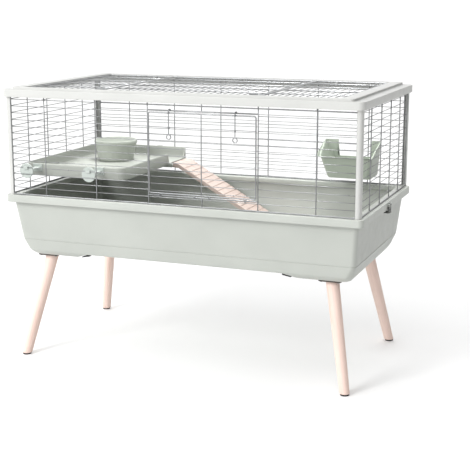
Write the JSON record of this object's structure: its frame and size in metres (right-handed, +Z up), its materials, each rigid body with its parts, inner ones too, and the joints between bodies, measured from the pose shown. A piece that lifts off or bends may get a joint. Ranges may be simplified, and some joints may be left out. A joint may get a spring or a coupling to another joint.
{
  "type": "rabbit hutch",
  "caption": "Raised indoor rabbit hutch: plastic tub on splayed wooden legs, wire cage with front and roof doors, platform, ramp, bowl and hay rack.",
  "frame": {"origin": "centre of the footprint on the floor", "axes": "+X along the length to the right, -Y the front with the drop-down door, +Z up"},
  "size_m": [1.1068, 0.592, 0.823],
  "materials": {
    "tub_plastic": "satin",
    "frame_plastic": "satin",
    "platform_plastic": "satin",
    "rack_plastic": "satin",
    "bowl_plastic": "satin",
    "clip_plastic": "satin",
    "wood": "clear matt lacquer",
    "wire": "bright zinc",
    "bracket_steel": "satin",
    "screw_steel": "zinc",
    "glide_rubber": "matt"
  },
  "bodies": {
    "stand": {"tub": "tub_plastic", "leg_front_left": "wood", "leg_front_right": "wood", "leg_back_left": "wood", "leg_back_right": "wood", "bracket_front_left": "bracket_steel", "bracket_front_right": "bracket_steel", "bracket_back_left": "bracket_steel", "bracket_back_right": "bracket_steel", "leg_studs": "screw_steel", "bracket_screws": "screw_steel", "foot_glides": "glide_rubber", "edge_pads": "glide_rubber"},
    "cage": {"lower_frame": "frame_plastic", "clip_pins": "screw_steel", "top_frame": "frame_plastic", "front_panel": "wire", "back_panel": "wire", "left_panel": "wire", "right_panel": "wire", "roof_panel": "wire", "corner_post_front_left": "frame_plastic", "corner_post_front_right": "frame_plastic", "corner_post_back_left": "frame_plastic", "corner_post_back_right": "frame_plastic"},
    "front_door": {"front_door": "wire"},
    "front_latch_left": {"front_latch_left": "wire"},
    "front_latch_right": {"front_latch_right": "wire"},
    "roof_door": {"roof_door": "wire"},
    "roof_latch_left": {"roof_latch_left": "wire"},
    "roof_latch_right": {"roof_latch_right": "wire"},
    "side_clip_left": {"side_clip_left": "clip_plastic"},
    "side_clip_right": {"side_clip_right": "clip_plastic"},
    "platform": {"platform": "platform_plastic", "platform_arm_left": "platform_plastic", "platform_arm_right": "platform_plastic", "ramp_pin": "screw_steel"},
    "ramp": {"ramp": "wood"},
    "bowl": {"bowl": "bowl_plastic"},
    "hay_rack": {"hay_rack": "rack_plastic"}
  },
  "joints": [
    {"name": "cage_lift", "type": "slide", "parent": "stand", "child": "cage", "axis": [0, 0, 1], "range_m": [0, 0.35]},
    {"name": "front_door_hinge", "type": "hinge", "parent": "cage", "child": "front_door", "pos_m": [0.0825, -0.28, 0.528], "axis": [1, 0, 0], "range_deg": [0, 115]},
    {"name": "front_latch_left_lift", "type": "slide", "parent": "front_door", "child": "front_latch_left", "axis": [0, 0, 1], "range_m": [0, 0.006]},
    {"name": "front_latch_right_lift", "type": "slide", "parent": "front_door", "child": "front_latch_right", "axis": [0, 0, 1], "range_m": [0, 0.006]},
    {"name": "roof_door_hinge", "type": "hinge", "parent": "cage", "child": "roof_door", "pos_m": [0, 0.267, 0.815], "axis": [-1, 0, 0], "range_deg": [0, 105]},
    {"name": "roof_latch_left_turn", "type": "hinge", "parent": "roof_door", "child": "roof_latch_left", "pos_m": [-0.23, -0.26, 0.815], "axis": [-1, 0, 0], "range_deg": [0, 85]},
    {"name": "roof_latch_right_turn", "type": "hinge", "parent": "roof_door", "child": "roof_latch_right", "pos_m": [0.23, -0.26, 0.815], "axis": [-1, 0, 0], "range_deg": [0, 85]},
    {"name": "side_clip_left_turn", "type": "hinge", "parent": "cage", "child": "side_clip_left", "pos_m": [-0.55, 0, 0.491], "axis": [0, 1, 0], "range_deg": [0, 95]},
    {"name": "side_clip_right_turn", "type": "hinge", "parent": "cage", "child": "side_clip_right", "pos_m": [0.55, 0, 0.491], "axis": [0, -1, 0], "range_deg": [0, 95]},
    {"name": "platform_lift", "type": "slide", "parent": "cage", "child": "platform", "axis": [0, 0, 1], "range_m": [0, 0.012]},
    {"name": "ramp_hinge", "type": "hinge", "parent": "platform", "child": "ramp", "pos_m": [-0.188, 0.175, 0.547], "axis": [0, -1, 0], "range_deg": [0, 26]},
    {"name": "bowl_lift", "type": "slide", "parent": "platform", "child": "bowl", "axis": [0, 0, 1], "range_m": [0, 0.12]},
    {"name": "hay_rack_lift", "type": "slide", "parent": "cage", "child": "hay_rack", "axis": [0, 0, 1], "range_m": [0, 0.012]}
  ]
}
